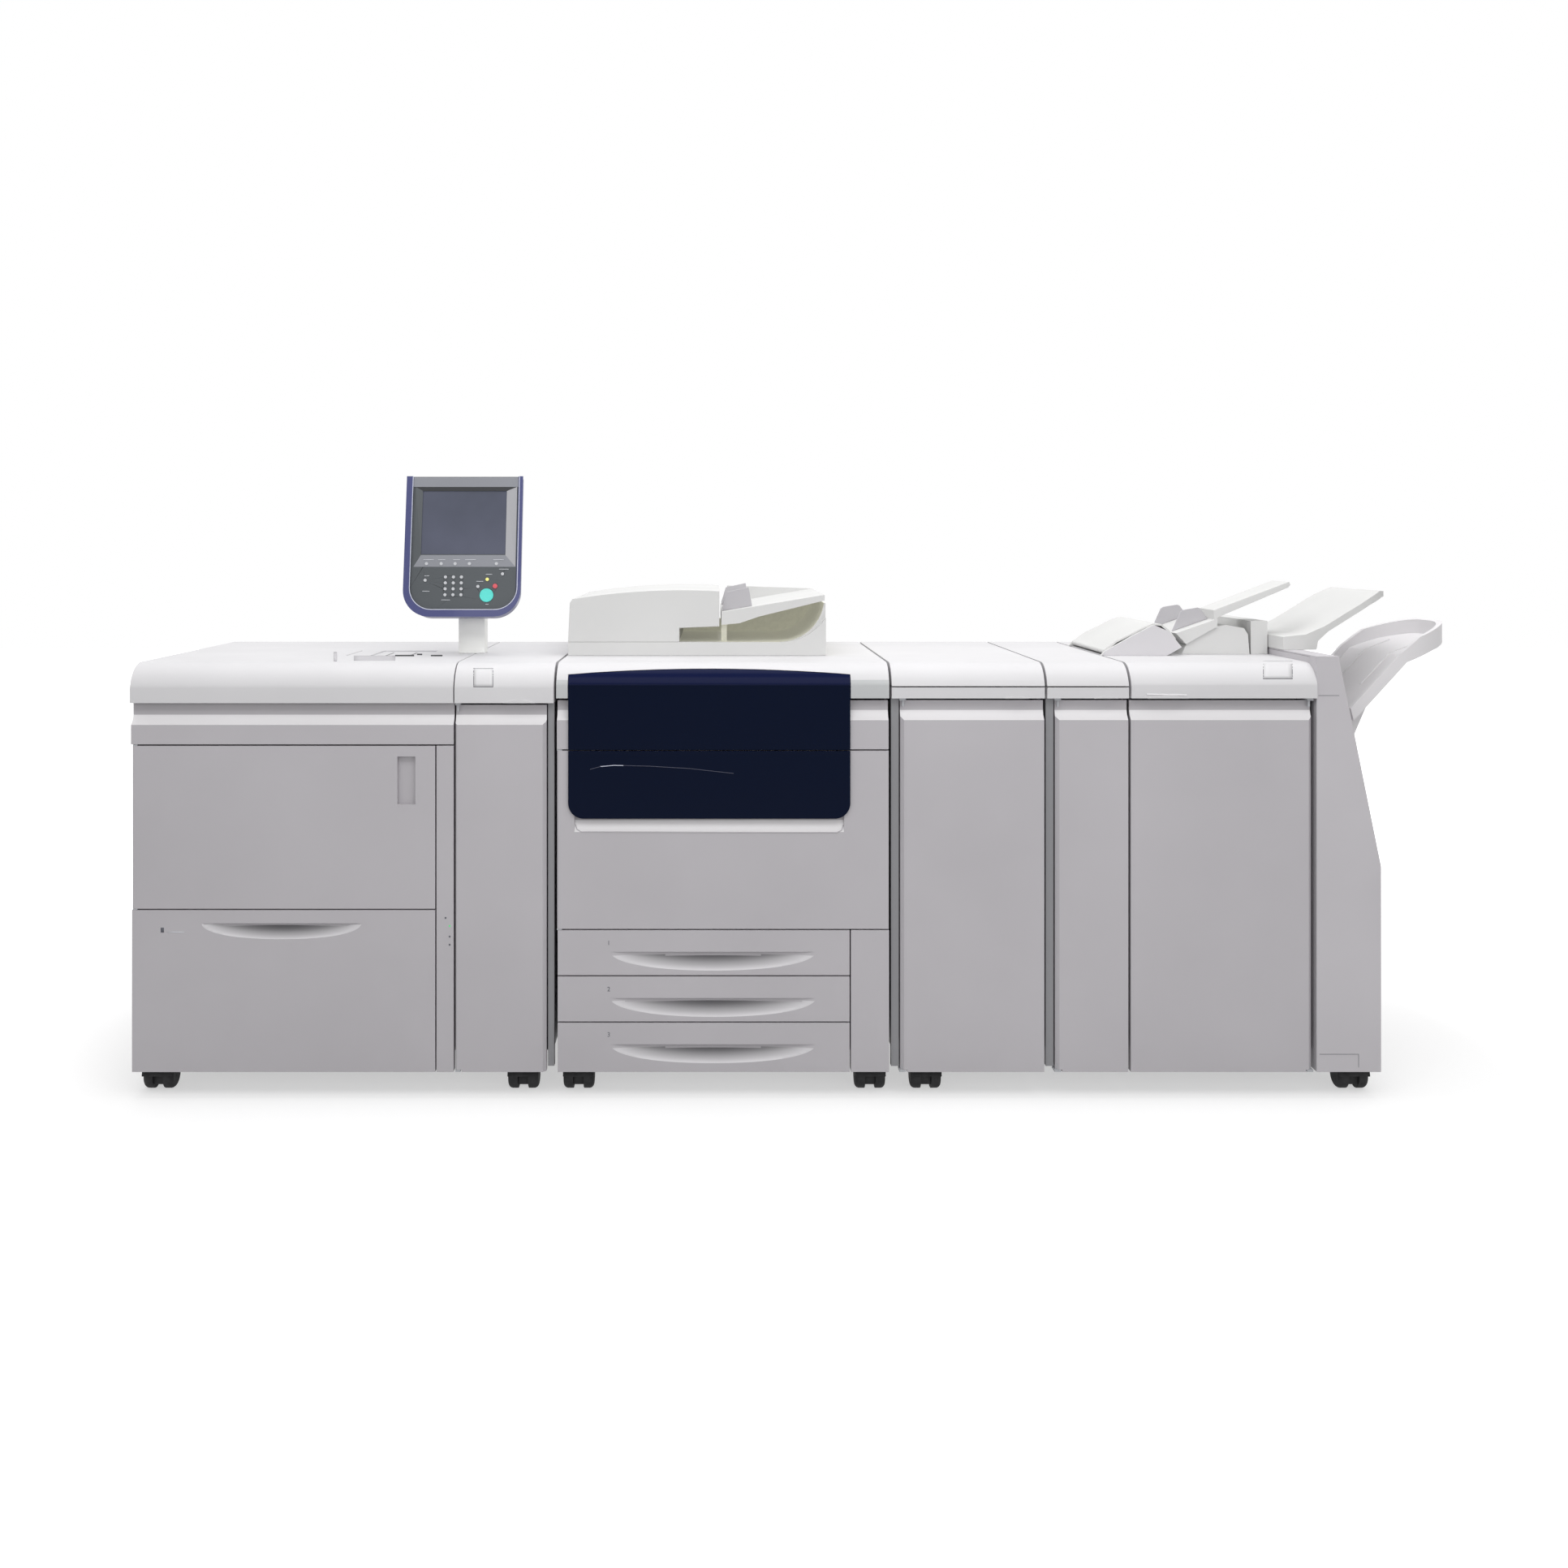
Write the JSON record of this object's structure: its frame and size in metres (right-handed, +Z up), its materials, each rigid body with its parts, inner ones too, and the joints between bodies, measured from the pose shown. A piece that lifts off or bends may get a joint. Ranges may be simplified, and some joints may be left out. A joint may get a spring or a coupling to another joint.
{
  "type": "digital production printer",
  "caption": "Production printer line on casters: paper feeder, print engine with document feeder and operator panel, and finisher modules with trays.",
  "frame": {"origin": "middle of the footprint, on the floor", "axes": "+X along the line of cabinets from the feeder to the stacker tray, +Y from the door faces to the back, +Z up"},
  "size_m": [3.207, 0.769, 1.4646],
  "materials": {
    "cover_white": "satin",
    "cover_grey": "satin",
    "adf_white": "satin",
    "frame_steel": "satin",
    "rear_metal": "satin",
    "navy_gloss": "gloss",
    "panel_blue": "satin",
    "bezel_dark": "satin",
    "screen_glass": "gloss",
    "platen_glass": "polished",
    "key_grey": "satin",
    "start_teal": "satin",
    "stop_red": "satin",
    "caster_black": "matt",
    "tray_grey": "satin",
    "consumable_black": "satin",
    "tray_steel": "satin"
  },
  "bodies": {
    "machine": {"feeder_frame": "frame_steel", "feeder_top_cover": "cover_white", "feeder_fascia": "cover_grey", "feeder_side_cover": "cover_grey", "feeder_rear_cover": "rear_metal", "transport_top_cover": "cover_white", "engine_frame": "frame_steel", "engine_top_cover": "cover_white", "platen_glass": "platen_glass", "engine_rear_cover": "rear_metal", "engine_inner_cover": "adf_white", "toner_bottles": "consumable_black", "drum_cartridges": "consumable_black", "engine_column_cover": "cover_grey", "ui_post": "adf_white", "interface_frame": "frame_steel", "interface_top_cover": "cover_white", "finisher_frame": "frame_steel", "folder_top_cover": "cover_white", "finisher_top_cover": "cover_white", "finisher_end_cover": "cover_grey", "finisher_rear_cover": "rear_metal", "top_tray": "adf_white", "inserter_body": "adf_white", "inserter_tray": "adf_white", "caster_forks": "caster_black"},
    "front_wheels": {"front_caster_wheels": "caster_black"},
    "rear_wheels": {"rear_caster_wheels": "caster_black"},
    "storage_door": {"storage_door": "cover_grey"},
    "feeder_drawer": {"feeder_drawer": "cover_grey"},
    "lift_plate": {"feeder_lift_plate": "tray_steel"},
    "transport_door": {"transport_door": "cover_grey"},
    "toner_door": {"toner_door": "cover_grey", "toner_door_panel": "navy_gloss"},
    "front_door": {"front_door": "cover_grey", "front_door_panel": "navy_gloss"},
    "tray_1": {"tray_1": "cover_grey"},
    "tray_2": {"tray_2": "cover_grey"},
    "tray_3": {"tray_3": "cover_grey"},
    "document_feeder": {"adf_base": "adf_white"},
    "feed_cover": {"adf_feed_cover": "adf_white"},
    "input_tray": {"adf_input_tray": "adf_white"},
    "guide_front": {"adf_guide_front": "tray_grey"},
    "guide_rear": {"adf_guide_rear": "tray_grey"},
    "scanner": {"scanner_carriage": "consumable_black"},
    "neck": {"ui_neck": "adf_white"},
    "panel": {"ui_housing": "panel_blue", "ui_bezel": "bezel_dark", "ui_screen": "screen_glass"},
    "number_keys": {"number_keys": "key_grey"},
    "function_keys": {"function_keys": "key_grey"},
    "start_button": {"start_button": "start_teal"},
    "stop_button": {"stop_button": "stop_red"},
    "interface_door": {"interface_door": "cover_grey"},
    "folder_door": {"folder_door": "cover_grey"},
    "finisher_door": {"finisher_door": "cover_grey"},
    "stacker_tray": {"stacker_tray": "tray_grey"},
    "inserter_cover": {"inserter_cover": "adf_white"},
    "inserter_guide_front": {"inserter_guide_front": "tray_grey"},
    "inserter_guide_rear": {"inserter_guide_rear": "tray_grey"}
  },
  "joints": [
    {"name": "front_wheels_roll", "type": "hinge", "parent": "machine", "child": "front_wheels", "pos_m": [0, -0.3005, 0.032], "axis": [1, 0, 0], "continuous": true},
    {"name": "rear_wheels_roll", "type": "hinge", "parent": "machine", "child": "rear_wheels", "pos_m": [0, 0.3095, 0.032], "axis": [1, 0, 0], "continuous": true},
    {"name": "storage_door_hinge", "type": "hinge", "parent": "machine", "child": "storage_door", "pos_m": [-1.5945, -0.3695, 0.624], "axis": [0, 0, -1], "range_deg": [0, 105]},
    {"name": "feeder_drawer_slide", "type": "slide", "parent": "machine", "child": "feeder_drawer", "axis": [0, -1, 0], "range_m": [0, 0.56]},
    {"name": "lift_plate_rise", "type": "slide", "parent": "feeder_drawer", "child": "lift_plate", "axis": [0, 0, 1], "range_m": [0, 0.28]},
    {"name": "transport_door_hinge", "type": "hinge", "parent": "machine", "child": "transport_door", "pos_m": [-0.8405, -0.3695, 0.484], "axis": [0, 0, -1], "range_deg": [0, 95]},
    {"name": "toner_door_hinge", "type": "hinge", "parent": "machine", "child": "toner_door", "pos_m": [-0.2225, -0.3825, 0.813], "axis": [1, 0, 0], "range_deg": [0, 85]},
    {"name": "front_door_hinge", "type": "hinge", "parent": "machine", "child": "front_door", "pos_m": [-0.6035, -0.3695, 0.604], "axis": [0, 0, -1], "range_deg": [0, 95]},
    {"name": "tray_1_slide", "type": "slide", "parent": "machine", "child": "tray_1", "axis": [0, -1, 0], "range_m": [0, 0.44]},
    {"name": "tray_2_slide", "type": "slide", "parent": "machine", "child": "tray_2", "axis": [0, -1, 0], "range_m": [0, 0.44]},
    {"name": "tray_3_slide", "type": "slide", "parent": "machine", "child": "tray_3", "axis": [0, -1, 0], "range_m": [0, 0.44]},
    {"name": "document_feeder_hinge", "type": "hinge", "parent": "machine", "child": "document_feeder", "pos_m": [-0.2855, 0.3765, 1.0146], "axis": [-1, 0, 0], "range_deg": [0, 60]},
    {"name": "feed_cover_hinge", "type": "hinge", "parent": "document_feeder", "child": "feed_cover", "pos_m": [-0.6075, 0.1245, 1.0483], "axis": [0, -1, 0], "range_deg": [0, 60]},
    {"name": "input_tray_hinge", "type": "hinge", "parent": "document_feeder", "child": "input_tray", "pos_m": [-0.2175, 0.1245, 1.107], "axis": [0, -1, 0], "range_deg": [0, 15]},
    {"name": "guide_front_slide", "type": "slide", "parent": "input_tray", "child": "guide_front", "axis": [0, 1, 0], "range_m": [-0.03, 0.1]},
    {"name": "guide_rear_slide", "type": "slide", "parent": "input_tray", "child": "guide_rear", "axis": [0, -1, 0], "range_m": [-0.03, 0.1]},
    {"name": "scanner_slide", "type": "slide", "parent": "machine", "child": "scanner", "axis": [1, 0, 0], "range_m": [0, 0.36]},
    {"name": "panel_swivel", "type": "hinge", "parent": "machine", "child": "neck", "pos_m": [-0.8615, -0.0235, 1.164], "axis": [0, 0, 1], "range_deg": [-25, 25]},
    {"name": "panel_tilt", "type": "hinge", "parent": "neck", "child": "panel", "pos_m": [-0.8615, -0.05136, 1.19844], "axis": [-1, 0, 0], "range_deg": [-10, 25]},
    {"name": "number_keys_press", "type": "slide", "parent": "panel", "child": "number_keys", "axis": [0, 0.9848, -0.1736], "range_m": [0, 0.0015], "stiffness_N_per_m": 300},
    {"name": "function_keys_press", "type": "slide", "parent": "panel", "child": "function_keys", "axis": [0, 0.9848, -0.1736], "range_m": [0, 0.0015], "stiffness_N_per_m": 300},
    {"name": "start_button_press", "type": "slide", "parent": "panel", "child": "start_button", "axis": [0, 0.9848, -0.1736], "range_m": [0, 0.0015], "stiffness_N_per_m": 300},
    {"name": "stop_button_press", "type": "slide", "parent": "panel", "child": "stop_button", "axis": [0, 0.9848, -0.1736], "range_m": [0, 0.0015], "stiffness_N_per_m": 300},
    {"name": "interface_door_hinge", "type": "hinge", "parent": "machine", "child": "interface_door", "pos_m": [0.1985, -0.3695, 0.484], "axis": [0, 0, -1], "range_deg": [0, 95]},
    {"name": "folder_door_hinge", "type": "hinge", "parent": "machine", "child": "folder_door", "pos_m": [0.5605, -0.3695, 0.484], "axis": [0, 0, -1], "range_deg": [0, 95]},
    {"name": "finisher_door_hinge", "type": "hinge", "parent": "machine", "child": "finisher_door", "pos_m": [1.1465, -0.3695, 0.484], "axis": [0, 0, 1], "range_deg": [0, 95]},
    {"name": "stacker_tray_drop", "type": "slide", "parent": "machine", "child": "stacker_tray", "axis": [0, 0, -1], "range_m": [0, 0.26]},
    {"name": "inserter_cover_hinge", "type": "hinge", "parent": "machine", "child": "inserter_cover", "pos_m": [0.7375, 0.0445, 1.024], "axis": [0, -1, 0], "range_deg": [0, 70]},
    {"name": "inserter_guide_front_slide", "type": "slide", "parent": "machine", "child": "inserter_guide_front", "axis": [0, 1, 0], "range_m": [-0.03, 0.06]},
    {"name": "inserter_guide_rear_slide", "type": "slide", "parent": "machine", "child": "inserter_guide_rear", "axis": [0, -1, 0], "range_m": [-0.03, 0.06]}
  ],
  "couplings": [
    {"joint": "guide_rear_slide", "follows": "guide_front_slide", "ratio": 1},
    {"joint": "inserter_guide_rear_slide", "follows": "inserter_guide_front_slide", "ratio": 1}
  ]
}
